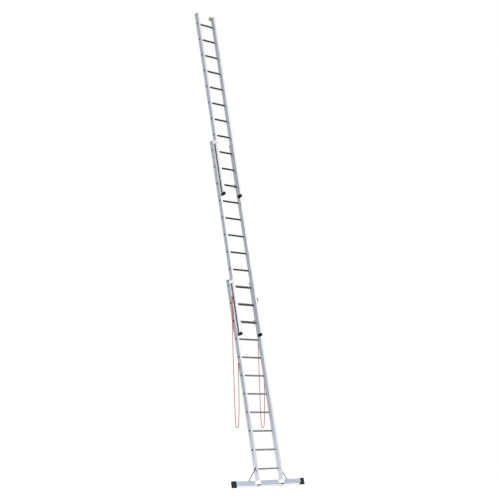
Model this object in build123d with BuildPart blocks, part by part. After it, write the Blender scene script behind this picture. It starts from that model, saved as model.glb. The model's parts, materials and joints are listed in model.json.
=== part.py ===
"""Three-section aluminium extension ladder with a stabiliser bar.

The ladder leans back at its working angle, fully extended.  The origin lies on the
floor midway between the stabiliser bar's two rubber feet: X is across the ladder,
Y points away from the climber and Z is up.  Millimetres.
"""

from build123d import *
from math import copysign, cos, pi, radians, sin, tan
import os

os.makedirs("parts", exist_ok=True)

# ---------------------------------------------------------------- driving dimensions
LEAN = 76.5  # angle between the stiles and the floor, degrees
PITCH = 280.0  # rung spacing
RUNGS = 11  # rungs in each section
OVERLAP = 3  # rungs shared by two sections at full extension
CLEAR = 0.1  # clearance between fixed pieces
LIFT = 0.3  # clearance under a hook or beside a moving piece

STILE_W = 29.0  # stile width across the ladder
STILE_D = 74.0  # stile depth, front to back
WALL = 1.8  # stile wall
RECESS = 1.2  # how far the outer web sits inside the stile's edge beads
BEAD = 9.0  # width of each edge bead
BASE_HALF = 250.0  # half the lower section's outside width
NEST = 33.0  # how much narrower each next section is, per side
NEST_GAP = 5.0  # between a section's rungs and the stile standing in front of them

FOOT_BELOW = 230.0  # lower section: stile end below its lowest rung
SLIDE_FOOT_BELOW = (185.0, 154.0)  # middle and upper section: the same
TOP_ABOVE = (90.0, 154.0, 184.0)  # stile end above the top rung, each section
FIRST_RUNG = 271.0  # lowest rung of all, measured along the stile
DROP = 28.0  # a sliding section's rung sits this far below the rung it hooks over

RUNG = 30.0  # rung tube's overall size
RUNG_WALL = 1.6
TREAD, TREAD_UP = 27.0, 11.8  # tread's width, and its height over the rung's centre
SHOULDER = 4.0  # depth of the upright sides under the tread
BELLY, BELLY_DOWN = 14.0, 14.0  # width of the rounded underside, and its depth below the centre
RUNG_SET = 41.0  # rung centre behind the stile's front face
FLARE = 3.2  # how far the flared end and the collar stand out round the tube
COLLAR = 2.5  # collar thickness
GROOVE_W, GROOVE_D, GROOVES = 1.4, 0.6, 6

BAR_D, BAR_H, BAR_WALL = 32.0, 68.0, 2.0  # stabiliser bar section
BAR_HALF = 710.0  # half its length
BAR_FRONT = 48.0  # bar's front face behind the stile's front face
BAR_LOW = 38.0  # bar's lower face, measured along the stile
CAP_T, CAP_L = 5.0, 70.0  # end cap: wall and length
STRUT_OUT = 140.0  # how far out from the stile a strut meets the bar
STRUT_D = 14.0
STRUT_TOP, STRUT_FOOT = (26.0, 40.0), (38.0, 22.0)  # flattened ends
STRUT_DROP = 12.0  # rod starts this far below the rung's centre
PLATE = 3.0  # bracket plate
EAR = 26.0  # bracket ear
BRACKET_H = 56.0

GUIDE_H = 48.0  # guide bracket height
GUIDE_GAP = 1.7  # play between a guide and the stile it holds
GUIDE_LIP = 14.0  # how far the guide's lip covers the sliding stile's front
GUIDE_RIVETS = (0.27, 0.73)  # rivet heights, as shares of the guide's height
GUIDE_DOWN = (20.0, 4.0)  # guide's top below the stile's top, lower and middle section

HOOK_T = 4.0  # hook plate
HOOK_UP = 22.0  # hook height above its bearing edge
HOOK_LIP = 8.0  # hook's rear lip
HOOK_FRONT = 12.5  # plate's front edge, ahead of the rung's centre
HOOK_RIVETS = (29.0, 53.0)  # rivet heights above the rung
CATCH_T = 3.0
CATCH_PIN = 6.0  # catch pivot pin diameter
CATCH_ARM = 12.0  # catch lever width
RIVET_HEAD, RIVET_H, RIVET_D = 12.0, 2.6, 6.0

ROLLER_D, ROLLER_W = 66.0, 14.0  # wall rollers at the very top
ROLLER_PIN = 10.0
ROLLER_AT = (STILE_D - 4.0, -6.0)  # axle: behind the front face, and up from the top end
ROLLER_SIDE = 4.0  # gap between a roller and the stile
CARRIER_H, CARRIER_IN = 62.0, 8.0  # roller carrier: height, and margin behind the stile's front
TURN_PLAY = 0.05  # running clearance round a pin

PLUG_FEET = (12.0, 22.0, 22.0)  # plastic end plug outside the stile, each section's foot
PLUG_TOP = 6.0  # and at the top of each section
PLUG_DEEP = 30.0  # length of a plug inside the stile

ROPE_D = 11.0
ROPE_GAP = 9.0  # the rope loops hang this far outside the lower section
EYE_R, EYE_D = 5.6, 4.0  # rope eye ring: centre-line radius and wire
KNOT_D, KNOT_L = 17.0, 24.0
MIDDLE_EYE = (-25.0, 2887.0)  # rearward, along the stile
LOWER_EYE = (57.0, 1863.0)

# Route of one rope loop: rearward (Y) and up (Z), from the middle section's knot
# down round the hanging bight and up to the lower section's knot.
ROPE_ROUTE = [
    (583.9, 2717.5), (582.6, 2631.5), (578.1, 2537.5), (572.6, 2433.5), (567.2, 2326.5),
    (562.1, 2217.5), (556.4, 2109.5), (549.6, 1997.5), (541.6, 1886.5), (534.4, 1777.5),
    (526.6, 1665.5), (518.2, 1556.5), (510.8, 1447.5), (502.6, 1339.5), (495.8, 1231.5),
    (490.1, 1147.5), (482.6, 1051.5), (473.6, 951.5), (462.6, 884.5), (454.6, 849.5),
    (440.8, 837.9), (422.8, 837), (407.9, 847.1), (402, 864.1), (399, 899),
    (396.2, 966.5), (394.4, 1061.5), (395.2, 1161.5), (397.8, 1256.5), (402.2, 1356.5),
    (407, 1456.5), (413.6, 1561.5), (419.4, 1651.5), (424.6, 1713.5),
]

# ---------------------------------------------------------------- derived places
lean = radians(LEAN)
ACROSS = Vector(1, 0, 0)
BACK = Vector(0, sin(lean), -cos(lean))
ALONG = Vector(0, cos(lean), sin(lean))
half = [BASE_HALF - NEST * k for k in range(3)]
step = STILE_D + NEST_GAP - (RUNG_SET - RUNG / 2)  # next section stands this far in front
front = [-step * k for k in range(3)]
first = [FIRST_RUNG + k * ((RUNGS - OVERLAP) * PITCH - DROP) for k in range(3)]
last = [s + (RUNGS - 1) * PITCH for s in first]
foot = [first[0] - FOOT_BELOW] + [first[k] - SLIDE_FOOT_BELOW[k - 1] for k in (1, 2)]
top = [last[k] + TOP_ABOVE[k] for k in range(3)]
bar_mid = BAR_FRONT + BAR_D / 2
bar_high = BAR_LOW + BAR_H
rope_out = half[0] + ROPE_GAP
ORIGIN = Vector(0, -bar_mid / sin(lean), 0)  # puts the rubber feet on Y = 0
sections = ("lower", "middle", "upper")


def place(x, r, s):
    """World position of a point given across, rearward and along the stile."""
    return ORIGIN + ACROSS * x + BACK * r + ALONG * s


def level(s):
    """Plane across the stiles: local X across, Y rearward, normal up the stile."""
    return Plane(origin=place(0, 0, s), x_dir=ACROSS, z_dir=ALONG)


def flank(x):
    """Plane beside the stile: local X rearward, Y up the stile, normal +X."""
    return Plane(origin=place(x, 0, 0), x_dir=BACK, z_dir=ACROSS)


def face(r):
    """Plane parallel to the stile fronts: local X across, Y up, normal forward."""
    return Plane(origin=place(0, r, 0), x_dir=ACROSS, z_dir=-BACK)


def rung_section(grow, grooves=0):
    """Rung section: a tread, level at the working angle, over sides that narrow to a belly."""
    side, high = TREAD / 2 + grow, TREAD_UP + grow
    belly, low = BELLY / 2 + grow, BELLY_DOWN + grow
    with BuildSketch() as section:
        with BuildLine():
            Polyline(
                (-side, high), (side, high), (side, high - SHOULDER),
                (belly, -low), (-belly, -low), (-side, high - SHOULDER),
                close=True,
            )
        make_face()
        corners = section.vertices().sort_by(Axis.Y)
        fillet(corners[:2], 0.8 * belly)
        fillet(section.vertices().sort_by(Axis.Y)[-2:], 0.08 * side)
        if grooves:
            with Locations((0, high)):
                with GridLocations(TREAD / (grooves + 1.5), 1, grooves, 1):
                    Rectangle(GROOVE_W, 2 * GROOVE_D, mode=Mode.SUBTRACT)
    return section.sketch.rotate(Axis.Z, 90 - LEAN)


def save(part, name):
    part.label = name
    export_step(part, f"parts/{name}.step")
    print(f"{name:24s} {len(part.solids()):3d} solids {part.volume / 1000:9.2f} cm3")


# ---------------------------------------------------------------- shared rivet places
guide_top = [top[k] - GUIDE_DOWN[k] for k in range(2)]
guide_low = [guide_top[k] - GUIDE_H for k in range(2)]
guide_tab = [half[k + 1] + GUIDE_GAP for k in range(2)]  # inner edge of the guide's tab
guide_rivet_x = [guide_tab[k] + PLATE + 0.55 * (STILE_W - PLATE) for k in range(2)]
guide_rivet_s = [[guide_low[k] + GUIDE_H * f for f in GUIDE_RIVETS] for k in range(2)]

strut_bolt = (RUNG_SET, first[0])
hook_rivets = [(-HOOK_FRONT, s) for s in HOOK_RIVETS]  # rearward of the rung, above it

rung_outer = rung_section(0, GROOVES)
rung_bore = rung_section(-RUNG_WALL)
rung_hole = rung_section(CLEAR)
rung_flare = rung_section(FLARE)
rung_top = TREAD / 2 * cos(lean) + TREAD_UP * sin(lean)  # highest edge above the centre

# ---------------------------------------------------------------- stiles
web = [h - RECESS for h in half]  # outer face of the outer web
inner = [h - STILE_W for h in half]  # face of the inner web

for k, section in enumerate(sections):
    rungs = [first[k] + PITCH * i for i in range(RUNGS)]
    for side, hand in ((-1, "left"), (1, "right")):
        length = top[k] - foot[k]
        cavity_w = web[k] - inner[k] - 2 * WALL
        with BuildPart() as stile:
            with BuildSketch(level(foot[k])):
                with Locations((side * (half[k] - STILE_W / 2), front[k] + STILE_D / 2)):
                    RectangleRounded(STILE_W, STILE_D, 2)
                with Locations((side * half[k], front[k] + STILE_D / 2)):
                    Rectangle(2 * RECESS, STILE_D - 2 * BEAD, mode=Mode.SUBTRACT)
                with Locations((side * (inner[k] + WALL + cavity_w / 2), front[k] + STILE_D / 2)):
                    Rectangle(cavity_w, STILE_D - 2 * WALL, mode=Mode.SUBTRACT)
            extrude(amount=length)
            with BuildSketch(flank(side * (half[k] - STILE_W / 2))):
                with Locations(*[(front[k] + RUNG_SET, s) for s in rungs]):
                    add(rung_hole)
            extrude(amount=STILE_W, both=True, mode=Mode.SUBTRACT)
            if k == 0:  # the back of each foot is cut away for the stabiliser bar
                with BuildSketch(flank(side * (half[k] - STILE_W / 2))):
                    with Locations((BAR_FRONT - CLEAR, foot[k] - 1)):
                        Rectangle(STILE_D, bar_high + CLEAR - foot[k] + 1, align=Align.MIN)
                extrude(amount=STILE_W, both=True, mode=Mode.SUBTRACT)
            if k < 2:  # rivet holes for the guide bracket
                with BuildSketch(face(front[k])):
                    with Locations(*[(side * guide_rivet_x[k], s) for s in guide_rivet_s[k]]):
                        Circle(RIVET_D / 2 + CLEAR)
                extrude(amount=-2 * WALL, mode=Mode.SUBTRACT)
            if k > 0:  # rivet holes for the hook plate
                with BuildSketch(flank(side * inner[k])):
                    with Locations(*[(front[k] + RUNG_SET + r, first[k] + s) for r, s in hook_rivets]):
                        Circle(RIVET_D / 2 + CLEAR)
                extrude(amount=side * 2 * WALL, mode=Mode.SUBTRACT)
            if k < 2:  # hole for the rope eye
                with BuildSketch(flank(side * web[k])):
                    with Locations((LOWER_EYE, MIDDLE_EYE)[k]):
                        Circle(EYE_D / 2 + CLEAR)
                extrude(amount=-side * 2 * WALL, mode=Mode.SUBTRACT)
        save(stile.part, f"{section}_{hand}_stile")

# ---------------------------------------------------------------- rungs
for k, section in enumerate(sections):
    for i in range(RUNGS):
        spot = (front[k] + RUNG_SET, first[k] + PITCH * i)
        with BuildPart() as rung:
            with BuildSketch(flank(0)):
                with Locations(spot):
                    add(rung_outer)
                    add(rung_bore, mode=Mode.SUBTRACT)
            extrude(amount=web[k] + RECESS - CLEAR, both=True)
            for side in (-1, 1):
                flare_out = (web[k] + CLEAR, RECESS - 2 * CLEAR)
                for x, thickness in (flare_out, (inner[k] - CLEAR, -COLLAR)):
                    with BuildSketch(flank(side * x)):
                        with Locations(spot):
                            add(rung_flare)
                            add(rung_bore, mode=Mode.SUBTRACT)
                    extrude(amount=side * thickness)
        save(rung.part, f"{section}_rung_{i + 1:02d}")

# ---------------------------------------------------------------- plastic end plugs
for k, section in enumerate(sections):
    cavity_w = web[k] - inner[k] - 2 * WALL - 2 * CLEAR
    foot_depth = BAR_FRONT - 2 * CLEAR if k == 0 else STILE_D
    with BuildPart() as plugs:
        for side in (-1, 1):
            x_mid = side * (half[k] - STILE_W / 2)
            x_boss = side * (inner[k] + (web[k] - inner[k]) / 2)
            ends = ((foot[k], -PLUG_FEET[k], foot_depth), (top[k], PLUG_TOP, STILE_D))
            for end, flange, depth in ends:
                with BuildSketch(level(end)):
                    with Locations((x_mid, front[k] + depth / 2)):
                        RectangleRounded(STILE_W, depth, 2)
                extrude(amount=flange)
                boss_depth = depth - 2 * WALL - 2 * CLEAR
                with BuildSketch(level(end)):
                    with Locations((x_boss, front[k] + depth / 2)):
                        Rectangle(cavity_w, boss_depth)
                extrude(amount=-copysign(PLUG_DEEP, flange))
    save(plugs.part, f"{section}_end_plugs")

# ---------------------------------------------------------------- stabiliser bar
bar_centre = (bar_mid, BAR_LOW + BAR_H / 2)
bar_bolts = [(side * (x + 0.55 * EAR * step), bar_centre[1])
             for side in (-1, 1) for x, step in ((half[0] + PLATE, 1), (inner[0] - PLATE, -1))]
strut_foot_x = half[0] + STRUT_OUT

with BuildPart() as bar:
    with BuildSketch(flank(0)):
        with Locations(bar_centre):
            RectangleRounded(BAR_D, BAR_H, 4)
            RectangleRounded(BAR_D - 2 * BAR_WALL, BAR_H - 2 * BAR_WALL, 2, mode=Mode.SUBTRACT)
    extrude(amount=BAR_HALF, both=True)
    with BuildSketch(face(BAR_FRONT)):
        with Locations(*bar_bolts):
            Circle(RIVET_D / 2 + CLEAR)
    extrude(amount=-2 * BAR_WALL, mode=Mode.SUBTRACT)
    with BuildSketch(level(bar_high)):
        with Locations((strut_foot_x, bar_mid), (-strut_foot_x, bar_mid)):
            Circle(RIVET_D / 2 + CLEAR)
    extrude(amount=-2 * BAR_WALL, mode=Mode.SUBTRACT)
save(bar.part, "stabiliser_bar")

# Rubber end caps: a sleeve over the bar that reaches down to a flat foot on the floor.
cap_front, cap_back = BAR_FRONT - CAP_T, BAR_FRONT + BAR_D + CAP_T
cap_x = BAR_HALF + CAP_T
with BuildPart() as caps:
    for side in (-1, 1):
        with BuildSketch(flank(side * cap_x)):
            with BuildLine():
                Polyline(
                    (cap_front, bar_high + CAP_T),
                    (cap_back, bar_high + CAP_T),
                    (cap_back, cap_back / tan(lean)),
                    (cap_front, cap_front / tan(lean)),
                    close=True,
                )
            make_face()
        extrude(amount=-side * CAP_L)
        with BuildSketch(flank(side * (BAR_HALF + CLEAR))):
            with Locations(bar_centre):
                RectangleRounded(BAR_D + 2 * CLEAR, BAR_H + 2 * CLEAR, 4)
        extrude(amount=-side * CAP_L, mode=Mode.SUBTRACT)
    for end in (caps.faces().sort_by(Axis.X)[0], caps.faces().sort_by(Axis.X)[-1]):
        chamfer(end.edges().sort_by(Axis.Z)[1:], 2)
save(caps.part, "bar_caps")

# Struts: a round rod from the lowest rung's end down to the top of the bar.
with BuildPart() as struts:
    for side in (-1, 1):
        head = place(side * (half[0] + CLEAR + 0.6 * STRUT_D), RUNG_SET, first[0] - STRUT_DROP)
        inward = place(side * (strut_foot_x - 14), bar_mid, bar_high + 0.5 * STRUT_D)
        with BuildSketch(Plane(origin=head, z_dir=inward - head)):
            Circle(STRUT_D / 2)
        extrude(amount=(inward - head).length)
        with BuildSketch(flank(side * (half[0] + CLEAR))):
            with Locations(strut_bolt):
                RectangleRounded(*STRUT_TOP, 8)
                Circle(RIVET_D / 2 + CLEAR, mode=Mode.SUBTRACT)
        extrude(amount=side * PLATE)
        with BuildSketch(level(bar_high + CLEAR)):
            with Locations((side * (strut_foot_x - 4), bar_mid)):
                RectangleRounded(*STRUT_FOOT, 6)
            with Locations((side * strut_foot_x, bar_mid)):
                Circle(RIVET_D / 2 + CLEAR, mode=Mode.SUBTRACT)
        extrude(amount=PLATE)
save(struts.part, "bar_struts")

# ---------------------------------------------------------------- pressed brackets
hat_plate = GUIDE_GAP * 1.2  # thinner than the guides, clear of the next section
hat_back = BAR_FRONT - CLEAR  # the ears lie against the bar


def guide_outline(k):
    """Section of a guide: tab on this stile's front, wall beside the next stile, lip over it."""
    tab_in, side_out = guide_tab[k], guide_tab[k] + PLATE
    tab_r = front[k] - CLEAR
    lip_r = front[k + 1] - GUIDE_GAP
    lip_x = half[k + 1] - GUIDE_LIP
    return [
        (half[k] - 2, tab_r), (tab_in, tab_r), (tab_in, lip_r), (lip_x, lip_r),
        (lip_x, lip_r - PLATE), (side_out, lip_r - PLATE),
        (side_out, tab_r - PLATE), (half[k] - 2, tab_r - PLATE),
    ]


def hat_outline():
    """Section of a foot bracket: a top hat round the stile's front, with an ear each side."""
    outer_x, inner_x = half[0] + CLEAR, inner[0] - CLEAR
    return [
        (outer_x + EAR, hat_back), (outer_x, hat_back), (outer_x, -CLEAR), (inner_x, -CLEAR),
        (inner_x, hat_back), (inner_x - EAR, hat_back), (inner_x - EAR, hat_back - hat_plate),
        (inner_x - hat_plate, hat_back - hat_plate), (inner_x - hat_plate, -CLEAR - hat_plate),
        (outer_x + hat_plate, -CLEAR - hat_plate), (outer_x + hat_plate, hat_back - hat_plate),
        (outer_x + EAR, hat_back - hat_plate),
    ]


for k in range(2):
    strips = [(guide_outline(k), guide_low[k], GUIDE_H)]
    if k == 0:
        strips.append((hat_outline(), bar_centre[1] - BRACKET_H / 2, BRACKET_H))
    with BuildPart() as brackets:
        for side in (-1, 1):
            for outline, low, height in strips:
                with BuildSketch(level(low)):
                    with BuildLine():
                        Polyline(*[(side * x, r) for x, r in outline], close=True)
                    make_face()
                extrude(amount=height)
            with BuildSketch(face(front[k])):
                with Locations(*[(side * guide_rivet_x[k], s) for s in guide_rivet_s[k]]):
                    Circle(RIVET_D / 2 + CLEAR)
            extrude(amount=2 * PLATE, mode=Mode.SUBTRACT)
        if k == 0:
            with BuildSketch(face(BAR_FRONT)):
                with Locations(*bar_bolts):
                    Circle(RIVET_D / 2 + CLEAR)
            extrude(amount=BAR_FRONT / 2, mode=Mode.SUBTRACT)
    save(brackets.part, ("lower_brackets", "middle_guides")[k])

# ---------------------------------------------------------------- hooks and catches
bearing = DROP + rung_top + LIFT  # hook's bearing edge above the section's own rung
catch_r = step - RUNG / 2 - CATCH_ARM / 2 - 5.0  # pivot between the two rungs
catch_s = DROP - RUNG / 2 - CATCH_ARM / 2 - 2.5  # lever just under the rung it guards
hook_back = step + RUNG / 2 + 1.0  # inside of the rear lip
hook_front = -HOOK_FRONT - RIVET_HEAD / 2
arm_front, arm_back = catch_r - 8.0, step - RUNG / 2 - 4.0

for k in (1, 2):
    own_r, own_s = front[k] + RUNG_SET, first[k]
    outline = [
        (hook_front, RUNG / 2 + FLARE + 1), (hook_front, bearing + HOOK_UP),
        (hook_back + HOOK_LIP, bearing + HOOK_UP),
        (hook_back + HOOK_LIP, DROP - RUNG / 4), (hook_back, DROP - RUNG / 4), (hook_back, bearing),
        (arm_back, bearing), (arm_back, catch_s - 8), (arm_front, catch_s - 8),
        (arm_front, RUNG / 2 + FLARE + 1),
    ]
    rivets = [(own_r + r, own_s + s) for r, s in hook_rivets]
    with BuildPart() as hooks:
        for side in (-1, 1):
            with BuildSketch(flank(side * (inner[k] - CLEAR))):
                with BuildLine():
                    Polyline(*[(own_r + r, own_s + s) for r, s in outline], close=True)
                make_face()
                with Locations(*rivets):
                    Circle(RIVET_D / 2 + CLEAR, mode=Mode.SUBTRACT)
                with Locations((own_r + catch_r, own_s + catch_s)):
                    Circle(CATCH_PIN / 2 + CLEAR, mode=Mode.SUBTRACT)
            extrude(amount=-side * HOOK_T)
    save(hooks.part, f"{sections[k]}_hooks")

    for side, hand in ((-1, "left"), (1, "right")):
        lever_len = hook_back + HOOK_LIP - catch_r
        with BuildPart() as catch:
            with BuildSketch(flank(side * (inner[k] - CLEAR - HOOK_T - LIFT))):
                with Locations((own_r + catch_r, own_s + catch_s)):
                    Circle(CATCH_ARM / 2 + 1)
                    with Locations((lever_len / 2, 0)):
                        RectangleRounded(lever_len, CATCH_ARM * 0.8, 3)
                    Circle(CATCH_PIN / 2 + TURN_PLAY, mode=Mode.SUBTRACT)
            extrude(amount=-side * CATCH_T)
        save(catch.part, f"{sections[k]}_catch_{hand}")

# ---------------------------------------------------------------- wall rollers
roller_centre = (front[2] + ROLLER_AT[0], top[2] + ROLLER_AT[1])
roller_in = inner[2] - ROLLER_SIDE  # roller face next to the stile
hub_d, rim_d, dish = 0.36 * ROLLER_D, 0.76 * ROLLER_D, 0.2 * ROLLER_W

for side, hand in ((-1, "left"), (1, "right")):
    with BuildPart() as roller:
        with BuildSketch(flank(side * roller_in)):
            with Locations(roller_centre):
                Circle(ROLLER_D / 2)
                Circle(ROLLER_PIN / 2 + TURN_PLAY, mode=Mode.SUBTRACT)
        extrude(amount=-side * ROLLER_W)
        for x, inward in ((roller_in, -side), (roller_in - ROLLER_W, side)):
            with BuildSketch(flank(side * x)):
                with Locations(roller_centre):
                    Circle(rim_d / 2)
                    Circle(hub_d / 2, mode=Mode.SUBTRACT)
            extrude(amount=inward * dish, mode=Mode.SUBTRACT)
        rim = roller.edges().filter_by(GeomType.CIRCLE).sort_by(lambda e: e.radius)[-2:]
        fillet(rim, 0.16 * ROLLER_W)
    save(roller.part, f"wall_roller_{hand}")

# ---------------------------------------------------------------- rivets, pins and eyes
for k, section in enumerate(sections):
    with BuildPart() as fasteners:
        for side in (-1, 1):
            if k < 2:  # guide rivets
                spots = [(side * guide_rivet_x[k], s) for s in guide_rivet_s[k]]
                with BuildSketch(face(front[k] - CLEAR - PLATE - CLEAR)):
                    with Locations(*spots):
                        Circle(RIVET_HEAD / 2)
                extrude(amount=RIVET_H)
                with BuildSketch(face(front[k] + WALL)):
                    with Locations(*spots):
                        Circle(RIVET_D / 2)
                extrude(amount=PLATE + WALL + 2 * CLEAR)
                eye_r, eye_s = (LOWER_EYE, MIDDLE_EYE)[k]
                centre = place(side * rope_out, eye_r, eye_s)
                with BuildSketch(flank(side * (web[k] - WALL - 1))):
                    with Locations((eye_r, eye_s)):
                        Circle(EYE_D / 2)
                extrude(amount=side * (rope_out - EYE_R - web[k] + WALL + 1))
                with BuildSketch(flank(side * (web[k] + CLEAR))):
                    with Locations((eye_r, eye_s)):
                        Circle(RIVET_HEAD / 2)
                extrude(amount=side * (RECESS - CLEAR))
                ring = Plane(origin=centre, x_dir=ACROSS, z_dir=Vector(0, -1, 0))
                with BuildSketch(ring):
                    Circle(EYE_R + EYE_D / 2)
                    Circle(EYE_R - EYE_D / 2, mode=Mode.SUBTRACT)
                extrude(amount=EYE_D / 2, both=True)
                knot_top = centre - Vector(0, 0, EYE_R + EYE_D / 2)
                with BuildSketch(Plane(origin=knot_top, z_dir=Vector(0, 0, -1))):
                    Circle(KNOT_D / 2)
                extrude(amount=KNOT_L)
            if k > 0:  # hook rivets and the catch's pivot pin
                own_r, own_s = front[k] + RUNG_SET, first[k]
                spots = [(own_r + r, own_s + s) for r, s in hook_rivets]
                plate_x = inner[k] - CLEAR - HOOK_T
                with BuildSketch(flank(side * (plate_x - CLEAR))):
                    with Locations(*spots):
                        Circle(RIVET_HEAD / 2)
                extrude(amount=-side * RIVET_H)
                with BuildSketch(flank(side * (inner[k] + WALL + 1))):
                    with Locations(*spots):
                        Circle(RIVET_D / 2)
                extrude(amount=-side * (HOOK_T + WALL + 1 + 2 * CLEAR))
                pivot = (own_r + catch_r, own_s + catch_s)
                head_x = plate_x - LIFT - CATCH_T - LIFT
                with BuildSketch(flank(side * head_x)):
                    with Locations(pivot):
                        Circle(RIVET_HEAD / 2 - 1)
                extrude(amount=-side * RIVET_H)
                with BuildSketch(flank(side * head_x)):
                    with Locations(pivot):
                        Circle(CATCH_PIN / 2)
                extrude(amount=side * (inner[k] - CLEAR - head_x))
            if k == 2:  # roller carriers: a plate on the inner web with a stub axle
                front_r, back_r, top_s = front[2] + CARRIER_IN, front[2] + STILE_D - PLATE, top[2]
                with BuildSketch(flank(side * (inner[2] - CLEAR))):
                    with BuildLine():
                        Polyline(
                            (back_r, top_s - CARRIER_H), (back_r, top_s),
                            (front_r, top_s + PLUG_TOP), (front_r, top_s - CARRIER_H / 4),
                            (back_r - 2 * ROLLER_PIN, top_s - CARRIER_H),
                            close=True,
                        )
                    make_face()
                extrude(amount=-side * PLATE)
                with BuildSketch(flank(side * (inner[2] - CLEAR))):
                    with Locations(roller_centre):
                        Circle(ROLLER_PIN / 2)
                extrude(amount=-side * (ROLLER_SIDE + ROLLER_W))
                with BuildSketch(flank(side * (roller_in - ROLLER_W - LIFT))):
                    with Locations(roller_centre):
                        Circle(ROLLER_PIN / 2 + 3)
                extrude(amount=-side * RIVET_H)
                with BuildSketch(flank(side * (roller_in - ROLLER_W))):
                    with Locations(roller_centre):
                        Circle(ROLLER_PIN / 2)
                extrude(amount=-side * (LIFT + 1))
        if k == 0:  # bolts of the bar brackets and the struts
            ear_r = hat_back - hat_plate
            with BuildSketch(face(ear_r - CLEAR)):
                with Locations(*bar_bolts):
                    RegularPolygon(RIVET_HEAD / 2, 6)
            extrude(amount=RIVET_H * 1.5)
            with BuildSketch(face(BAR_FRONT + BAR_WALL + 2)):
                with Locations(*bar_bolts):
                    Circle(RIVET_D / 2)
            extrude(amount=hat_plate + BAR_WALL + 2 + 2 * CLEAR)
            for side in (-1, 1):
                with BuildSketch(level(bar_high + PLATE + 2 * CLEAR)):
                    with Locations((side * strut_foot_x, bar_mid)):
                        RegularPolygon(RIVET_HEAD / 2, 6)
                extrude(amount=RIVET_H * 1.5)
                with BuildSketch(level(bar_high - BAR_WALL - 2)):
                    with Locations((side * strut_foot_x, bar_mid)):
                        Circle(RIVET_D / 2)
                extrude(amount=PLATE + BAR_WALL + 2 + 2 * CLEAR)
                with BuildSketch(flank(side * (half[0] + PLATE + 2 * CLEAR))):
                    with Locations(strut_bolt):
                        RegularPolygon(RIVET_HEAD / 2, 6)
                extrude(amount=side * RIVET_H * 1.5)
                with BuildSketch(flank(side * (half[0] + PLATE + 2 * CLEAR))):
                    with Locations(strut_bolt):
                        Circle(RIVET_D / 2)
                extrude(amount=-side * (PLATE + 2 * CLEAR + 12))
    save(fasteners.part, f"{section}_fasteners")

# ---------------------------------------------------------------- rope loops
def rope_points(side):
    """Route of one loop, from knot to knot, in its plane beside the ladder."""
    ends = []
    for (r, s), gap in ((MIDDLE_EYE, LIFT), (LOWER_EYE, 0)):
        eye = place(side * rope_out, r, s)
        ends.append(eye - Vector(0, 0, EYE_R + EYE_D / 2 + KNOT_L + gap))
    route = [Vector(side * rope_out, y, z) for y, z in ROPE_ROUTE]
    return [ends[0]] + route + [ends[1]]


for side, hand in ((-1, "left"), (1, "right")):
    points = rope_points(side)
    runs = [b - a for a, b in zip(points, points[1:])]
    turns = [a.get_angle(b) for a, b in zip(runs, runs[1:])]
    radii = [
        0.45 * min(a.length, b.length) / tan(radians(turn) / 2)
        for a, b, turn in zip(runs, runs[1:], turns)
    ]
    with BuildPart() as rope:
        with BuildLine() as path:
            FilletPolyline(*points, radius=radii)
        with BuildSketch(Plane(origin=points[0], z_dir=runs[0])):
            Circle(ROPE_D / 2)
        sweep()
    save(rope.part, f"rope_{hand}")
    length = path.wires()[0].length
    section_area = pi * ROPE_D**2 / 4
    print("  rope length", round(length), "runs", round(min(r.length for r in runs)),
          round(max(r.length for r in runs)), "least radius", round(min(radii)),
          "turns", round(min(turns), 2), round(max(turns), 1),
          "volume ratio", round(rope.part.volume / (section_area * length), 4))
    print("  ends", [tuple(round(c, 1) for c in points[i]) for i in (0, -1)])
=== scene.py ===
# %% [markdown]
# # A three-section extension ladder
#
# The ladder's tubes, brackets and bar were built to size in CAD.  This notebook loads
# them as a fixed frame and gives them their looks: brushed and ribbed aluminium, moulded
# plastic, rubber, and two loops of braided rope.  Every cell makes one thing and prints
# what it made.

# %% Load the frame
import json
from math import cos, pi, radians, sin

import bmesh
import bpy
from mathutils import Matrix, Vector


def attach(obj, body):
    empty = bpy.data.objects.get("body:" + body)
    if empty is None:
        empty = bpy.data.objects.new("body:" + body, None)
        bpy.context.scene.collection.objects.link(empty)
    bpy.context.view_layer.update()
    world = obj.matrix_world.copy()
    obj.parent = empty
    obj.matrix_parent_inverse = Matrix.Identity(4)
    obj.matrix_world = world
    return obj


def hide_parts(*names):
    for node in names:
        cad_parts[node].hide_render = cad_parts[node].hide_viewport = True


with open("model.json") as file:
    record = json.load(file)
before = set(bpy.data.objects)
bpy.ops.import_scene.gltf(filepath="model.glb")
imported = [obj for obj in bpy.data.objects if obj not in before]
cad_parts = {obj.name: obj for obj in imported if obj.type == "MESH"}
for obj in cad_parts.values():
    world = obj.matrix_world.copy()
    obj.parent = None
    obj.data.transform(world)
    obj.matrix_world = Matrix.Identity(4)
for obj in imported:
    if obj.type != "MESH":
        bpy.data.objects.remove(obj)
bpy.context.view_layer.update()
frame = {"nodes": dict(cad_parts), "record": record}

nodes = frame["nodes"]

# %% [markdown]
# ## Where things are
#
# The ladder leans back at 76.5 degrees.  Sizes along it are easiest to think of in the
# ladder's own directions: across, rearward from the lower section's front, and up along
# the stiles.  `place` turns those three numbers into a point of the frame, in metres.

# %% The ladder's own directions
LEAN = radians(76.5)
ACROSS = Vector((1, 0, 0))
BACK = Vector((0, sin(LEAN), -cos(LEAN)))
ALONG = Vector((0, cos(LEAN), sin(LEAN)))
BAR_MIDDLE = 0.064  # the bar's middle behind the lower section's front
ORIGIN = Vector((0, -BAR_MIDDLE / sin(LEAN), 0))
MM = 0.001

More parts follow.
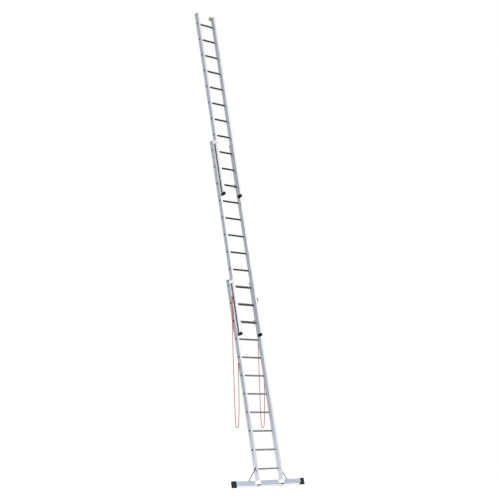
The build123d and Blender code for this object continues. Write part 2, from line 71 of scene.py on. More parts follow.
SECTIONS = ("lower", "middle", "upper")
RUNGS = 11  # in each section
PITCH = 0.280
STILE_W, STILE_D = 0.029, 0.074
HALF = (0.250, 0.217, 0.184)  # half of each section's outside width
INNER = tuple(half - STILE_W for half in HALF)  # inner faces of its stiles
FRONT = (0.0, -0.053, -0.106)  # front faces of its stiles
FIRST = (0.271, 2.483, 4.695)  # lowest rungs
FOOT = (0.041, 2.298, 4.541)  # lower ends of its stiles
TOP = (3.161, 5.437, 7.679)  # and their upper ends
RUNG_SET = 0.041  # the rungs' middles behind the stiles' front


def place(x, r, s):
    """Point of the frame, given across, rearward and along the stile, in metres."""
    return ORIGIN + ACROSS * x + BACK * r + ALONG * s


print("top of the upper section", [round(c, 3) for c in place(0, FRONT[2], TOP[2])])

# %% [markdown]
# ## Camera, floor and light
#
# A ladder more than seven metres tall is looked at from far away with a long lens, so
# its sides stay nearly parallel.  The floor is plain and pale.  The light is soft: a sky
# that is brightest overhead and towards the front left, and two wide lamps.  Little comes
# from below, so undersides are dark, and painted shade in the rungs' colour darkens theirs
# further.

# %% Camera
CAMERA_AT = Vector((-12.4583, -13.3228, 1.3293))
YAW, PITCH_UP, ROLL = radians(42.098), radians(6.7), radians(0.689)
LENS_MM, SENSOR_MM = 88.1352, 36.0
SHIFT = (-0.00136, 0.00172)
FAR = 200

forward = Vector((sin(YAW) * cos(PITCH_UP), cos(YAW) * cos(PITCH_UP), sin(PITCH_UP)))
right = Vector((cos(YAW), -sin(YAW), 0))
upward = right.cross(forward)
right, upward = (
    right * cos(ROLL) + upward * sin(ROLL),
    upward * cos(ROLL) - right * sin(ROLL),
)
camera = bpy.data.objects.new("camera", bpy.data.cameras.new("camera"))
bpy.context.collection.objects.link(camera)
camera.matrix_world = Matrix.Translation(CAMERA_AT) @ Matrix(
    (right, upward, -forward)
).transposed().to_4x4()
camera.data.sensor_width, camera.data.lens = SENSOR_MM, LENS_MM
camera.data.shift_x, camera.data.shift_y = SHIFT
camera.data.clip_end = FAR
bpy.context.scene.camera = camera
bpy.context.scene.view_settings.view_transform = "Standard"
print("camera", camera.data.lens, "mm lens")

# %% [markdown]
# Every material and the sky are built from nodes.  `Finish` makes nodes with one method:
# it takes the node's type, its settings and its inputs.  `Level` wraps a number that
# varies, so shader maths can be written as plain expressions: `1 - mask` adds a Math
# node that subtracts.


# %% Node helpers
class Level:
    """A varying number; Python's operators on it add Math nodes."""

    def __init__(self, finish, socket):
        self.finish, self.socket = finish, socket

    def maths(self, operation, *values):
        node = self.finish.node("ShaderNodeMath", {"operation": operation}, values)
        return Level(self.finish, node.outputs[0])

    def __add__(self, other):
        return self.maths("ADD", self, other)

    def __sub__(self, other):
        return self.maths("SUBTRACT", self, other)

    def __rsub__(self, other):
        return self.maths("SUBTRACT", other, self)

    def __mul__(self, other):
        return self.maths("MULTIPLY", self, other)

    __radd__, __rmul__ = __add__, __mul__

    def above(self, edge, soft):
        """0 below edge, 1 above it, turning over the width soft."""
        node = self.finish.node(
            "ShaderNodeMapRange",
            {"interpolation_type": "SMOOTHSTEP"},
            {0: self, 1: edge - soft / 2, 2: edge + soft / 2},
        )
        return Level(self.finish, node.outputs[0])

    def wave(self):
        return self.maths("SINE", self)


class Finish:
    """A node tree under construction: a material, or the sky."""

    def __init__(self, owner):
        owner.use_nodes = True
        self.owner, self.tree = owner, owner.node_tree
        self.tree.nodes.clear()

    def node(self, kind, settings=(), inputs=()):
        """A node of this kind: settings are its properties, inputs its sockets."""
        node = self.tree.nodes.new(kind)
        for name, value in dict(settings).items():
            setattr(node, name, value)
        pairs = inputs.items() if isinstance(inputs, dict) else enumerate(inputs)
        for key, value in pairs:
            value = value.socket if isinstance(value, Level) else value
            if isinstance(value, bpy.types.NodeSocket):
                self.tree.links.new(value, node.inputs[key])
            else:
                node.inputs[key].default_value = value
        return node

    def coordinates(self, scale=(1, 1, 1), turn=(0, 0, 0)):
        """Object coordinates, turned and scaled by a Mapping node."""
        source = self.node("ShaderNodeTexCoord").outputs["Object"]
        inputs = {"Vector": source, "Scale": scale, "Rotation": turn}
        return self.node("ShaderNodeMapping", {"vector_type": "POINT"}, inputs).outputs[0]

    def noise(self, where, scale, detail=3.0, roughness=0.5):
        inputs = {"Vector": where, "Scale": scale, "Detail": detail, "Roughness": roughness}
        return Level(self, self.node("ShaderNodeTexNoise", inputs=inputs).outputs[0])

    def split(self, vector):
        parts = self.node("ShaderNodeSeparateXYZ", (), [vector]).outputs
        return [Level(self, part) for part in parts]

    def blend(self, factor, one, other):
        """Mixed colour: one where factor is 0, other where it is 1."""
        one, other = [(*c, 1) if isinstance(c, tuple) else c for c in (one, other)]
        inputs = {0: factor, 6: one, 7: other}
        return self.node("ShaderNodeMix", {"data_type": "RGBA"}, inputs).outputs[2]

    def bump(self, strength, distance, height):
        inputs = {"Strength": strength, "Distance": distance, "Height": height}
        return self.node("ShaderNodeBump", (), inputs).outputs[0]

    def surface(self, inputs):
        """Ends a material with a Principled shader of these inputs, and returns it."""
        shader = self.node("ShaderNodeBsdfPrincipled", (), inputs)
        self.node("ShaderNodeOutputMaterial", (), [shader.outputs[0]])
        return self.owner


print("helpers ready")

# %% Floor
# A plain round floor, pale as paper, just under the feet.
FLOOR_R = 5.0
FLOOR_AT = Vector((0, 0.25, -0.0005))
floor_mesh = bpy.data.meshes.new("floor")
plan = bmesh.new()
bmesh.ops.create_circle(plan, cap_ends=True, radius=FLOOR_R, segments=128)
for corner in plan.verts:
    corner.co += FLOOR_AT
plan.to_mesh(floor_mesh)
plan.free()
floor = bpy.data.objects.new("floor", floor_mesh)
bpy.context.collection.objects.link(floor)
paper = Finish(bpy.data.materials.new("floor_paper"))
speckle = paper.noise(paper.coordinates(), 40.0)
fibres = paper.blend(speckle, (0.93, 0.93, 0.93), (0.96, 0.96, 0.96))
floor_mesh.materials.append(paper.surface({"Base Color": fibres, "Roughness": 0.9}))
print("floor", floor.dimensions[:])

# %% Sky
# Daylight, brightest overhead and towards the front left, with a dim band low on the
# right and a faint glow low on the left.  The backdrop that the camera sees is white.
GLOOM, OVERHEAD, LOW_GLOW = 0.012, 1.3, 0.5
OPEN_SKY, FROM_FRONT, FROM_FRONT_LEFT = 0.44, 0.36, 0.6
world = bpy.data.worlds.new("studio")
bpy.context.scene.world = world
sky = Finish(world)
across, along, up = sky.split(sky.node("ShaderNodeTexCoord").outputs["Generated"])
dusk = across.above(0.2, 0.4) * (1 - up.above(0.10, 0.2))
height = up.above(-0.10, 0.12) * (1 - dusk)
front = (along * -1).above(0.05, 0.9)
left = (across * -1).above(0.0, 0.8)
zenith = up.above(0.80, 0.3)
low_left = (across * -1).above(0.35, 0.5) * up.above(-0.40, 0.3) * (1 - height)
daylight = height * (OPEN_SKY + front * FROM_FRONT + front * left * FROM_FRONT_LEFT)
shine = GLOOM + daylight + zenith * OVERHEAD + low_left * LOW_GLOW
lit = sky.node("ShaderNodeBackground", (), {0: (0.97, 0.985, 1.0, 1), 1: shine})
seen = sky.node("ShaderNodeBackground", (), {0: (1, 1, 1, 1), 1: 1.0})
rays = sky.node("ShaderNodeLightPath")
either = sky.node(
    "ShaderNodeMixShader",
    (),
    {0: rays.outputs["Is Camera Ray"], 1: lit.outputs[0], 2: seen.outputs[0]},
)
sky.node("ShaderNodeOutputWorld", (), [either.outputs[0]])
print("sky ready")


# %% Lamps
# Two wide, soft lamps: the main one in front and to the right, a weaker one on the left.
def lamp(name, at, target, size, power, colour=(1, 1, 1)):
    data = bpy.data.lights.new(name, "AREA")
    data.shape = "RECTANGLE"
    data.size, data.size_y = size
    data.energy, data.color = power, colour
    made = bpy.data.objects.new(name, data)
    bpy.context.collection.objects.link(made)
    toward = (Vector(target) - Vector(at)).normalized()
    turn = toward.to_track_quat("-Z", "Y").to_matrix().to_4x4()
    made.matrix_world = Matrix.Translation(at) @ turn
    return made


LIT_AT = (0, 0.8, 3.2)
key = lamp("key", (5.0, -9.0, 9.0), LIT_AT, (5.0, 7.0), 260.0)
fill = lamp("fill", (-9.0, 3.0, 7.0), LIT_AT, (4.0, 7.0), 120.0, (0.93, 0.96, 1.0))
print("lamps", key.data.energy, fill.data.energy)

# %% [markdown]
# ## The rope loops
#
# On each side a braided rope hangs in one long loop: from a knot under an eye on the
# middle section, down to a narrow bight near the floor, and up to a second knot on the
# lower section.  A rope hanging under its own weight is one smooth curve, so the route
# is a NURBS spline through a few listed points.  The braid is made of strands
# that wind round that line both ways, like the real one: red yarns with a few white.

# %% Route of one loop
ROPE_ROUTE = [
    (583.8, 2781.2), (583.9, 2717.5), (582.6, 2631.5), (578.1, 2537.5), (572.6, 2433.5),
    (567.2, 2326.5), (562.1, 2217.5), (556.4, 2109.5), (549.6, 1997.5), (541.6, 1886.5),
    (534.4, 1777.5), (526.6, 1665.5), (518.2, 1556.5), (510.8, 1447.5), (502.6, 1339.5),
    (495.8, 1231.5), (490.1, 1147.5), (482.6, 1051.5), (473.6, 951.5), (462.6, 884.5),
    (454.6, 849.5), (440.8, 837.9), (422.8, 837), (407.9, 847.1), (402, 864.1),
    (399, 899), (396.2, 966.5), (394.4, 1061.5), (395.2, 1161.5), (397.8, 1256.5),
    (402.2, 1356.5), (407, 1456.5), (413.6, 1561.5), (419.4, 1651.5), (424.6, 1713.5),
    (424.5, 1766.6),
]
ROPE_OUT = 0.259
ROPE_D = 0.011


def rope_line(side):
    """Points read from the loop's NURBS spline."""
    curve = bpy.data.curves.new("rope_route", "CURVE")
    curve.dimensions = "3D"
    spline = curve.splines.new("NURBS")
    spline.points.add(len(ROPE_ROUTE) - 1)
    for point, (y, z) in zip(spline.points, ROPE_ROUTE):
        point.co = (side * ROPE_OUT, y * MM, z * MM, 1)
    spline.order_u = 3
    spline.use_endpoint_u = True
    spline.resolution_u = 10
    carrier = bpy.data.objects.new("rope_route", curve)
    bpy.context.collection.objects.link(carrier)
    deps = bpy.context.evaluated_depsgraph_get()
    line_mesh = bpy.data.meshes.new_from_object(carrier.evaluated_get(deps))
    line = [v.co.copy() for v in line_mesh.vertices]
    bpy.data.objects.remove(carrier)
    bpy.data.meshes.remove(line_mesh)
    return line


rope_paths = {"left": rope_line(-1), "right": rope_line(1)}

# %% [markdown]
# ## Finishes
#
# Extruded aluminium has faint lines along the tube, drawn by the die, a thin cloudy
# oxide, and small scuffs.  The lines come from noise stretched along the stiles, so the
# coordinates are first turned to the ladder's lean.

# %% Extruded aluminium
TURN_UPRIGHT = (-(pi / 2 - LEAN), 0, 0)  # lays the pattern's Z along the stiles
NO_TURN = (0, 0, 0)  # leaves its X along the rungs and the bar
SCUFF_GREY = (0.55, 0.55, 0.55)
UNDERSIDE_SHADE = 0.09  # share of the tint left where shade is painted on the undersides


def aluminium(name, tint, rough, stretch, turn=TURN_UPRIGHT, metal=0.92, scuff=0.10, shade=None):
    """Drawn aluminium: die lines along the tube, oxide clouds and scuffs."""
    finish = Finish(bpy.data.materials.new(name))
    lines = finish.noise(finish.coordinates(stretch, turn), 1.0, 4.0, 0.6)
    clouds = finish.noise(finish.coordinates(), 9.0, 5.0, 0.55)
    scuffs = finish.noise(finish.coordinates(), 70.0, 6.0, 0.7).above(0.66, 0.10)
    dull = tuple(c * 0.86 for c in tint)
    colour = finish.blend(lines * 0.6 + clouds * 0.6 - 0.1, tint, dull)
    colour = finish.blend(scuffs * scuff, colour, SCUFF_GREY)
    # Painted shade: where shade gives 1, the colour darkens to a small share of the tint.
    if shade:
        colour = finish.blend(shade(finish), colour, tuple(c * UNDERSIDE_SHADE for c in tint))
    return finish.surface({
        "Base Color": colour,
        "Roughness": rough - 0.05 + lines * 0.06 + clouds * 0.05 + scuffs * 0.12,
        "Metallic": metal,
        "Normal": finish.bump(0.12, 0.0004, lines),
    })


def underside_shade(finish):
    """1 on the undersides, where shade is painted into the rungs' colour; 0 elsewhere."""
    _, _, facing = finish.split(finish.node("ShaderNodeTexCoord").outputs["Normal"])
    return (facing * -1).above(0.28, 0.5)


stile_aluminium = aluminium("stile_aluminium", (0.80, 0.82, 0.86), 0.36, (260, 260, 2.0))
# The rungs' undersides carry painted shade.
rung_aluminium = aluminium(
    "rung_aluminium", (0.42, 0.43, 0.45), 0.27, (2.0, 300, 300), NO_TURN, 0.9, shade=underside_shade
)
bar_aluminium = aluminium("bar_aluminium", (0.58, 0.63, 0.71), 0.38, (2.0, 260, 260), NO_TURN)
# Near-white and not metallic: the brightness of the brackets and rung collars is painted
# highlight standing in for the aluminium's sheen.
bracket_aluminium = aluminium(
    "bracket_aluminium", (0.97, 0.97, 0.97), 0.45, (60, 60, 60), metal=0.0, scuff=0.03
)
print("aluminium finishes", stile_aluminium.name, rung_aluminium.name)


# %% Plated steel, plastic and rubber
GRAIN_DEPTH = 0.0002


def plain_finish(name, tint, rough, metal=0.0, grain=400.0, spread=0.25, gloss=0.5):
    """Moulded, plated or painted surface: a fine grain and slight unevenness of tint."""
    finish = Finish(bpy.data.materials.new(name))
    fine = finish.noise(finish.coordinates(), grain, 3.0, 0.6)
    broad = finish.noise(finish.coordinates(), 14.0, 4.0, 0.5)
    worn = tuple(min(1.0, c * (1 + spread) + 0.01) for c in tint)
    return finish.surface({
        "Base Color": finish.blend(fine * 0.4 + broad * 0.6, tint, worn),
        "Roughness": rough - 0.06 + broad * 0.12,
        "Metallic": metal,
        "Specular IOR Level": gloss,
        "Normal": finish.bump(0.3, GRAIN_DEPTH, fine),
    })


hook_steel = plain_finish("hook_steel", (0.62, 0.63, 0.65), 0.38, 0.9)
catch_steel = plain_finish("catch_steel", (0.035, 0.035, 0.038), 0.45, 0.0)
strut_steel = plain_finish("strut_steel", (0.035, 0.037, 0.042), 0.5, 0.2)
fastener_steel = plain_finish("fastener_steel", (0.60, 0.61, 0.63), 0.34, 0.9)
black_plastic = plain_finish("black_plastic", (0.006, 0.006, 0.007), 0.6, gloss=0.12)
cap_plastic = plain_finish("cap_plastic", (0.62, 0.63, 0.64), 0.55, spread=0.1)
# Near-white: the painted highlight on the nested stiles.
painted_highlight_plastic = plain_finish("painted_highlight_plastic", (0.86, 0.845, 0.83), 0.5, spread=0.02)
roller_plastic = plain_finish("roller_plastic", (0.42, 0.41, 0.38), 0.55, spread=0.1)
foot_rubber = plain_finish("foot_rubber", (0.010, 0.010, 0.011), 0.75, grain=900.0, gloss=0.2)
print("plain finishes made")

# %% [markdown]
# The rope's red braid carries white marker yarns.  Its pattern follows the rope, so it
# reads the rope's own UV map: U runs round the rope and V along it, in metres.

# %% Braided rope
BRAID_PITCH = 0.016
STRANDS = 4  # strands that wind each way
GROOVE_SHADE_RED, CROWN_RED = (0.36, 0.003, 0.005), (0.54, 0.006, 0.009)
MARKER, FAINT_MARKER = (0.62, 0.20, 0.20), (0.66, 0.36, 0.34)
FUZZ = (0.45, 0.03, 0.03)


def braid_finish(name):
    """Red braid woven both ways with painted shade in its grooves, two pale marker yarns and
    fuzz.
    """
    finish = Finish(bpy.data.materials.new(name))
    around, along_rope, _ = finish.split(finish.node("ShaderNodeTexCoord").outputs["UV"])
    steps = along_rope * (2 * pi / BRAID_PITCH)
    turns = around * (2 * pi)
    left_hand = (turns * STRANDS + steps).wave()
    right_hand = (turns * STRANDS - steps).wave()
    weave = (left_hand * right_hand).above(0.0, 0.8)
    marker = (turns + steps * 0.5).wave().above(0.55, 0.5)
    second = (turns - steps * 0.31).wave().above(0.70, 0.4)
    fuzz = finish.noise(finish.coordinates(), 900.0, 3.0, 0.6)
    # Painted shade: the grooves between the strands are a deeper red than their crowns.
    colour = finish.blend(weave, GROOVE_SHADE_RED, CROWN_RED)
    colour = finish.blend(marker * 0.25, colour, MARKER)
    colour = finish.blend(second * 0.15, colour, FAINT_MARKER)
    colour = finish.blend(fuzz * 0.15, colour, FUZZ)
    return finish.surface({
        "Base Color": colour,
        "Roughness": 0.8 + fuzz * 0.1,
        "Normal": finish.bump(0.6, 0.0006, weave + fuzz * 0.3),
        "Sheen Weight": 0.08,
        "Sheen Roughness": 0.5,
        "Specular IOR Level": 0.2,
    })


rope_braid = braid_finish("rope_braid")
print("rope finish", rope_braid.name)

# %% Dress the CAD pieces
finish_of_slot = {
    "stile_aluminium": stile_aluminium,
    "rung_aluminium": rung_aluminium,
    "bar_aluminium": bar_aluminium,
    "bracket_aluminium": bracket_aluminium,
    "hook_steel": hook_steel,
    "catch_steel": catch_steel,
    "strut_steel": strut_steel,
    "fastener_steel": fastener_steel,
    "black_plastic": black_plastic,
    "cap_plastic": cap_plastic,
    "roller_plastic": roller_plastic,
    "foot_rubber": foot_rubber,
    "rope": rope_braid,
}
for subpart in frame["record"]["subparts"]:
    node = nodes[subpart["node"]]
    node.data.materials.clear()
    node.data.materials.append(finish_of_slot[subpart["material_slot"]])
print("dressed", len(nodes), "CAD pieces")


# %% Mesh helpers
def finished(name, mesh, body, material=None):
    """Object at the origin that rides on a body, with the given finish if there is one."""
    made = bpy.data.objects.new(name, mesh)
    bpy.context.collection.objects.link(made)
    if material:
        mesh.materials.append(material)
    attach(made, body)
    return made


def from_bmesh(shape, name, smooth=True):
    """Mesh of a bmesh with its normals outward."""
    bmesh.ops.remove_doubles(shape, verts=shape.verts, dist=1e-6)
    bmesh.ops.recalc_face_normals(shape, faces=shape.faces)
    mesh = bpy.data.meshes.new(name)
    shape.to_mesh(mesh)
    shape.free()
    if smooth:
        mesh.shade_smooth()
    return mesh


# %% Braid the ropes
# A ring of corners is set round each point of the line.  The rings don't twist: each
# takes its direction from the one before it.
SIDES = 16
RING_STEP = 0.0022
CORE, SWELL = 0.94, 0.06  # shares of the radius


def braided_tube(name, line, radius):
    shape = bmesh.new()
    uv = shape.loops.layers.uv.new("UVMap")
    spots, travelled = [line[0]], [0.0]
    ahead, total = RING_STEP, 0.0
    for a, b in zip(line, line[1:]):
        run = (b - a).length
        while ahead <= total + run:
            spots.append(a.lerp(b, (ahead - total) / run))
            travelled.append(ahead)
            ahead += RING_STEP
        total += run
    rings, side_way = [], ACROSS
    for i, spot in enumerate(spots):
        on = spots[min(i + 1, len(spots) - 1)] - spots[max(i - 1, 0)]
        on.normalize()
        side_way = (side_way - on * side_way.dot(on)).normalized()
        other = on.cross(side_way)
        phase = 2 * pi * travelled[i] / BRAID_PITCH
        ring = []
        for k in range(SIDES):
            turn = 2 * pi * k / SIDES
            swell = sin(STRANDS * turn + phase) * sin(STRANDS * turn - phase)
            reach = radius * (CORE + SWELL * swell)
            outward = (side_way * cos(turn) + other * sin(turn)) * reach
            ring.append(shape.verts.new(spot + outward))
        rings.append(ring)
    for i, (ring, after) in enumerate(zip(rings, rings[1:])):
        for k in range(SIDES):
            m = (k + 1) % SIDES
            quad = shape.faces.new((ring[k], ring[m], after[m], after[k]))
            spans = ((k, i), (k + 1, i), (k + 1, i + 1), (k, i + 1))
            for loop, (round_step, along_step) in zip(quad.loops, spans):
                loop[uv].uv = (round_step / SIDES, travelled[along_step])
    shape.faces.new(list(reversed(rings[0])))
    shape.faces.new(rings[-1])
    mesh = bpy.data.meshes.new(name)
    shape.to_mesh(mesh)
    shape.free()
    mesh.shade_smooth()
    return mesh


for hand, line in rope_paths.items():
    tube = braided_tube("rope", line, ROPE_D / 2)
    rope = finished(f"braided_rope_{hand}", tube, "lower_section", rope_braid)
    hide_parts(f"rope_{hand}")
    print(rope.name, len(rope.data.polygons), "faces")


# %% [markdown]
# ## Knots
#
# Each end of a rope is tied off in a stopper knot below its eye: a few turns wrapped
# round the rope.  One profile, spun round the rope's line, gives the stacked turns.

# %% Stopper knots
def spun(shape, profile, centre, axis, segments=24):
    """Closed surface of revolution: profile is (radius, height) pairs from pole to pole."""
    axis = Vector(axis).normalized()
    side_way = axis.orthogonal().normalized()
    other = axis.cross(side_way)
    rings = []
    for reach, rise in profile:
        if reach == 0.0:
            rings.append([shape.verts.new(centre + axis * rise)])
            continue
        turns = [2 * pi * k / segments for k in range(segments)]
        rings.append([
            shape.verts.new(centre + axis * rise + (side_way * cos(t) + other * sin(t)) * reach)
            for t in turns
        ])
    for low, high in zip(rings, rings[1:]):
        for k in range(segments):
            m = (k + 1) % segments
            near, far = low[k % len(low)], low[m % len(low)]
            corners = [near, far, high[m % len(high)], high[k % len(high)]]
            shape.faces.new(list(dict.fromkeys(corners)))


KNOT_R, KNOT_L, KNOT_TURNS = 0.0083, 0.024, 5
TURN_OUT, TURN_UP = 0.0028, 0.0019  # half a turn's thickness, outward and upward
FLATTEN, BENDS = 0.8, 6
END_R, END_OUT = 0.006, 0.0008  # the flat ends' radius, and how far they stand out
EYES = {"middle": (-0.025, 2.887), "lower": (0.057, 1.863)}
EYE_DROP = 0.0076  # from an eye's centre down to the knot's top


def knot_profile():
    profile = [(0.0, -END_OUT), (END_R, -END_OUT)]
    for turn in range(KNOT_TURNS):
        for bend in range(BENDS + 1):
            angle = -pi / 2 + pi * bend / BENDS
            rise = (turn + 0.5) * KNOT_L / KNOT_TURNS + sin(angle) * TURN_UP
            profile.append((KNOT_R + TURN_OUT * cos(angle) * FLATTEN, rise))
    return profile + [(END_R, KNOT_L + END_OUT), (0.0, KNOT_L + END_OUT)]


for section, (eye_r, eye_s) in EYES.items():
    shape = bmesh.new()
    for side in (-1, 1):
        eye = place(side * ROPE_OUT, eye_r, eye_s)
        spun(shape, knot_profile(), eye - Vector((0, 0, EYE_DROP + KNOT_L)), (0, 0, 1))
    mesh = from_bmesh(shape, "knots")
    yarn = plain_finish(f"knot_yarn_{section}", (0.34, 0.006, 0.009), 0.8, spread=0.6)
    knots = finished(f"rope_knots_{section}", mesh, f"{section}_section", yarn)
    print(knots.name, len(knots.data.polygons), "faces")

# %% [markdown]
# ## Rivets and washers
#
# The brackets are fixed with domed rivets and bolts on washers.  They repeat, so a
# Geometry Nodes tree sets one head on every point of a small mesh of places.  The tree's
# inputs are the head's diameter, its height and its turn.


# %% Heads on points, as Geometry Nodes
def heads_tree():
    tree = bpy.data.node_groups.new("heads_on_points", "GeometryNodeTree")
    face = tree.interface
    face.new_socket("Places", in_out="INPUT", socket_type="NodeSocketGeometry")
    for name, kind in (
        ("Head diameter", "NodeSocketFloat"),
        ("Head height", "NodeSocketFloat"),
        ("Turn", "NodeSocketVector"),
        ("Finish", "NodeSocketMaterial"),
    ):
        face.new_socket(name, in_out="INPUT", socket_type=kind)
    face.new_socket("Heads", in_out="OUTPUT", socket_type="NodeSocketGeometry")
    new, link = tree.nodes.new, tree.links.new
    given, result = new("NodeGroupInput"), new("NodeGroupOutput")
    ball = new("GeometryNodeMeshUVSphere")
    ball.inputs["Segments"].default_value = 20
    ball.inputs["Rings"].default_value = 8
    half_width = new("ShaderNodeMath")
    half_width.operation = "MULTIPLY"
    half_width.inputs[1].default_value = 0.5
    size = new("ShaderNodeCombineXYZ")
    ball.inputs["Radius"].default_value = 1.0
    heads = new("GeometryNodeInstanceOnPoints")
    realize, paint = new("GeometryNodeRealizeInstances"), new("GeometryNodeSetMaterial")
    smooth = new("GeometryNodeSetShadeSmooth")
    link(given.outputs["Head diameter"], half_width.inputs[0])
    for axis in (0, 1):
        link(half_width.outputs[0], size.inputs[axis])
    link(given.outputs["Head height"], size.inputs[2])
    link(given.outputs["Places"], heads.inputs["Points"])
    link(ball.outputs["Mesh"], heads.inputs["Instance"])
    link(given.outputs["Turn"], heads.inputs["Rotation"])
    link(size.outputs[0], heads.inputs["Scale"])
    link(heads.outputs[0], realize.inputs[0])
    link(realize.outputs[0], smooth.inputs[0])
    link(smooth.outputs[0], paint.inputs[0])
    link(given.outputs["Finish"], paint.inputs["Material"])
    link(paint.outputs[0], result.inputs[0])
    return tree


heads = heads_tree()


def by_nodes(name, tree, mesh, values, body):
    """Runs a tree on a mesh and keeps the result as a plain piece."""
    carrier = bpy.data.objects.new("carrier", mesh)
    bpy.context.collection.objects.link(carrier)
    modifier = carrier.modifiers.new("tree", "NODES")
    modifier.node_group = tree
    for item in tree.interface.items_tree:
        if item.item_type == "SOCKET" and item.name in values:
            modifier[item.identifier] = values[item.name]
    carrier.update_tag()
    deps = bpy.context.evaluated_depsgraph_get()
    baked = bpy.data.meshes.new_from_object(carrier.evaluated_get(deps))
    bpy.data.objects.remove(carrier)
    return finished(name, baked, body)


def heads_on(name, section, points, diameter, height, turn, slot):
    """One piece: a head of the slot's finish on every point, riding on the section."""
    places = bpy.data.meshes.new("places")
    places.from_pydata([tuple(p) for p in points], [], [])
    values = {"Head diameter": diameter, "Head height": height, "Turn": turn,
              "Finish": finish_of_slot[slot]}
    piece = by_nodes(f"{name}_{section}", heads, places, values, f"{section}_section")
    print(piece.name, len(piece.data.polygons), "faces")


# %% Domed rivets on the guides and the hooks
RIVET_D, RIVET_H = 0.0124, 0.0032
GUIDE_GAP, GUIDE_T, GUIDE_FLANGE, GUIDE_TALL = 0.0017, 0.003, 0.026, 0.048
GUIDE_DROP = (0.020, 0.004)  # from a stile's top down to its guide's
GUIDE_OUT = 0.0055  # the guide's face, forward of the stile's front
GUIDE_X = tuple(half + GUIDE_GAP + GUIDE_T + 0.55 * GUIDE_FLANGE for half in HALF[1:])
GUIDE_LOW = tuple(TOP[k] - GUIDE_DROP[k] - GUIDE_TALL for k in range(2))
GUIDE_SHARES = (0.27, 0.73)  # the rivets' places up the guide
HOOK_IN, HOOK_FORWARD = 0.0066, 0.0125  # from the stile's inner face and the rung's middle
HOOK_RISES = (0.029, 0.053)  # the rivets above the lowest rung
FACING_SIDE = (0, pi / 2, 0)
FACING_FRONT = (-BACK).to_track_quat("Z", "Y").to_euler()
for k, section in enumerate(SECTIONS[:2]):
    points = [
        place(side * GUIDE_X[k], FRONT[k] - GUIDE_OUT, GUIDE_LOW[k] + GUIDE_TALL * share)
        for side in (-1, 1)
        for share in GUIDE_SHARES
    ]
    heads_on("guide_rivets", section, points, RIVET_D, RIVET_H, FACING_FRONT, "fastener_steel")
for k, section in ((1, "middle"), (2, "upper")):
    points = [
        place(side * (INNER[k] - HOOK_IN), FRONT[k] + RUNG_SET - HOOK_FORWARD, FIRST[k] + rise)
        for side in (-1, 1)
        for rise in HOOK_RISES
    ]
    heads_on("hook_rivets", section, points, RIVET_D, RIVET_H, FACING_SIDE, "fastener_steel")

# %% [markdown]
# ## Boots, end caps and slide pads
#
# Each stile ends below in a black boot and above in a pale cap; a black band under the
# cap's edge is painted shadow, the gap between cap and stile.  They are simple mouldings:
# a block with softened edges, made from its low and high corners in the ladder's own
# directions.

# %% Moulded blocks
def block(shape, low, high, soften=0.0015, slant=0.0):
    """Softened block between two corners (x, r, s); slant drops its rear top edge."""
    corners = []
    for x in (low[0], high[0]):
        for r in (low[1], high[1]):
            for s in (low[2], high[2]):
                drop = slant if (r == high[1] and s == high[2]) else 0.0
                corners.append(shape.verts.new(place(x, r, s - drop)))
    sides = ((0, 1, 3, 2), (4, 6, 7, 5), (0, 4, 5, 1), (2, 3, 7, 6), (0, 2, 6, 4), (1, 5, 7, 3))
    faces = [shape.faces.new([corners[i] for i in side]) for side in sides]
    edges = list({edge for face in faces for edge in face.edges})
    bmesh.ops.bevel(shape, geom=edges, offset=soften, segments=2, affect="EDGES", profile=0.7)


def both_sides(shape, x_low, x_high, low, high, **more):
    """The same block on each side of the ladder; low and high are (r, s) pairs."""
    for side in (-1, 1):
        xs = sorted((side * x_low, side * x_high))
        block(shape, (xs[0], *low), (xs[1], *high), **more)


def moulding(name, section, shape, material):
    """One piece made of blocks, riding on the section."""
    mesh = from_bmesh(shape, name, smooth=False)
    piece = finished(f"{name}_{section}", mesh, f"{section}_section", material)
    print(piece.name, len(piece.data.polygons), "faces")
    return piece


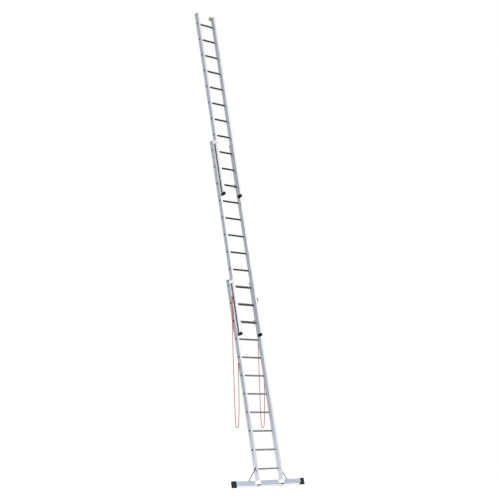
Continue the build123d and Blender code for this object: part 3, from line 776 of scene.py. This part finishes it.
# %% Boots, caps and the painted shadows under the caps
PROUD = 0.0003  # what slides through a guide stands out no more than this
BOOT_WALL = 0.0011
BOOT_UP = (0.008, 0.020, 0.020)  # from the stile's end up to the boot's top
BOOT_DOWN = (0.012, 0.022, 0.022)  # and down to its sole
LOWER_BOOT_DEPTH = 0.0475  # stops short of the stabiliser bar
RIBS, RIB_OUT, RIB_T, RIB_FIRST, RIB_STEP = 3, 0.0017, 0.002, 0.004, 0.005
CAP_WALL, CAP_DOWN, CAP_UP = 0.0008, 0.010, 0.006
CAP_SHADOW_WALL, CAP_SHADOW_PROUD, CAP_SHADOW_FRONT = 0.0014, 1.2 * PROUD, 0.016
CAP_SHADOW_LOW, CAP_SHADOW_HIGH = 0.0190, 0.0060  # its edges below the stile's top
for k, section in enumerate(SECTIONS):
    depth = LOWER_BOOT_DEPTH if k == 0 else STILE_D + BOOT_WALL
    sole = FOOT[k] - BOOT_DOWN[k]
    shape = bmesh.new()
    both_sides(shape, INNER[k] - BOOT_WALL, HALF[k] + BOOT_WALL, (FRONT[k] - BOOT_WALL, sole),
               (FRONT[k] + depth, FOOT[k] + BOOT_UP[k]), soften=0.003)
    for rib in range(RIBS):
        rise = sole + RIB_FIRST + RIB_STEP * rib
        both_sides(shape, INNER[k] - RIB_OUT, HALF[k] + RIB_OUT, (FRONT[k] - RIB_OUT, rise),
                   (FRONT[k] + depth, rise + RIB_T), soften=0.0006)
    boots = moulding("boots", section, shape, black_plastic)
    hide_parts(f"{section}_end_plugs")
    shape = bmesh.new()
    both_sides(shape, INNER[k] - CAP_WALL, HALF[k] + PROUD,
               (FRONT[k] - PROUD, TOP[k] - CAP_DOWN),
               (FRONT[k] + STILE_D + CAP_WALL, TOP[k] + CAP_UP), soften=0.002, slant=0.004)
    moulding("end_caps", section, shape, cap_plastic)
    # Painted shadow: a black band just under each cap, where the gap between cap and stile lies
    # in shade.
    shape = bmesh.new()
    both_sides(shape, INNER[k] - CAP_SHADOW_WALL, HALF[k] + CAP_SHADOW_PROUD,
               (FRONT[k] + CAP_SHADOW_FRONT, TOP[k] - CAP_SHADOW_LOW),
               (FRONT[k] + STILE_D + CAP_SHADOW_WALL, TOP[k] - CAP_SHADOW_HIGH), soften=0.001, slant=0.005)
    moulding("cap_gap_shadows", section, shape, black_plastic)

# %% Slide pads in the guides
# A black strip lines each guide, so that aluminium never rubs on aluminium.  Where it stands out
# past the guide's top edge it is painted shadow, the dark gap line there.
PAD_GAP, PAD_T, PAD_IN = 0.0004, 0.0011, 0.0135
PAD_LOW, PAD_HIGH = 0.002, 0.0505  # its ends below and above the guide's lower edge
SIDE_FRONT, SIDE_BACK = 0.001, 0.0005
SOFT_EDGE = 0.0003
for k, section in enumerate(SECTIONS[:2]):
    shape = bmesh.new()
    wall, face = HALF[k + 1] + PAD_GAP, FRONT[k + 1]
    low, high = GUIDE_LOW[k] - PAD_LOW, GUIDE_LOW[k] + PAD_HIGH
    both_sides(shape, wall, wall + PAD_T, (face - SIDE_FRONT, low),
               (FRONT[k] - SIDE_BACK, high), soften=SOFT_EDGE)
    both_sides(shape, HALF[k + 1] - PAD_IN, wall + PAD_T, (face - (PAD_GAP + PAD_T), low),
               (face - PAD_GAP, high), soften=SOFT_EDGE)
    moulding("slide_pads_with_gap_shadow", section, shape, black_plastic)

# %% [markdown]
# ## Painted highlight and shadow strips
#
# Where a section lies nested in the one below, the outside of its stile is almost white,
# with a dark edge towards the rear.  The white is painted highlight, light bounced from
# the front flange beside it, laid on as a pale strip; the dark edge is painted shadow in
# the gap between the stiles, a narrow black strip.  Both are long thin blocks on the
# nested length of the stile.

# %% Painted highlight and shadow strips on the nested stiles
STRIP_IN, STRIP_OUT = 0.0013, 0.00015  # into the stile's web and out of it
STRIP_FROM, GAP_SHADOW_FROM, GAP_SHADOW_TO = 0.0005, 0.0365, 0.0500  # behind the stile's front
NESTED = 0.030  # how far the strip starts above the stile's foot
PAST_TOP = 0.004  # how far it ends above the section below
for k, section in ((1, "middle"), (2, "upper")):
    low, high = FOOT[k] + NESTED, TOP[k - 1] + PAST_TOP
    strip, gap_shadow = bmesh.new(), bmesh.new()
    for shape, start, end in ((strip, STRIP_FROM, GAP_SHADOW_FROM), (gap_shadow, GAP_SHADOW_FROM, GAP_SHADOW_TO)):
        both_sides(shape, HALF[k] - STRIP_IN, HALF[k] + STRIP_OUT, (FRONT[k] + start, low),
                   (FRONT[k] + end, high), soften=SOFT_EDGE)
    # Painted highlight on the pale strip, painted shadow on the black one beside it.
    moulding("painted_highlight_strips", section, strip, painted_highlight_plastic)
    moulding("painted_gap_shadows", section, gap_shadow, black_plastic)

# %% Collars where the rungs meet the stiles
# Each rung is swaged against the stile's inner web with a rounded collar.  Its near-white finish
# is a painted highlight, the glint of the swaged alloy.
COLLAR_D, COLLAR_H, COLLAR_IN = 0.036, 0.0075, 0.0015


def rung_ends(k, x, r):
    """Both ends of each rung: x from the ladder's middle, r behind the stiles' front."""
    return [
        place(side * x, FRONT[k] + r, FIRST[k] + PITCH * i)
        for side in (-1, 1)
        for i in range(RUNGS)
    ]


for k, section in enumerate(SECTIONS):
    heads_on("rung_collars", section, rung_ends(k, INNER[k] - COLLAR_IN, RUNG_SET),
             COLLAR_D, COLLAR_H, FACING_SIDE, "bracket_aluminium")

# %% Plugs in the rungs' ends
# A flat black dome closes each rung on the outside of the stile.
PLUG_D, PLUG_H, PLUG_IN, PLUG_FORWARD = 0.029, 0.00335, 0.0030, 0.001
for k, section in enumerate(SECTIONS):
    points = rung_ends(k, HALF[k] - PLUG_IN, RUNG_SET - PLUG_FORWARD)
    heads_on("rung_end_plugs", section, points, PLUG_D, PLUG_H, FACING_SIDE, "black_plastic")
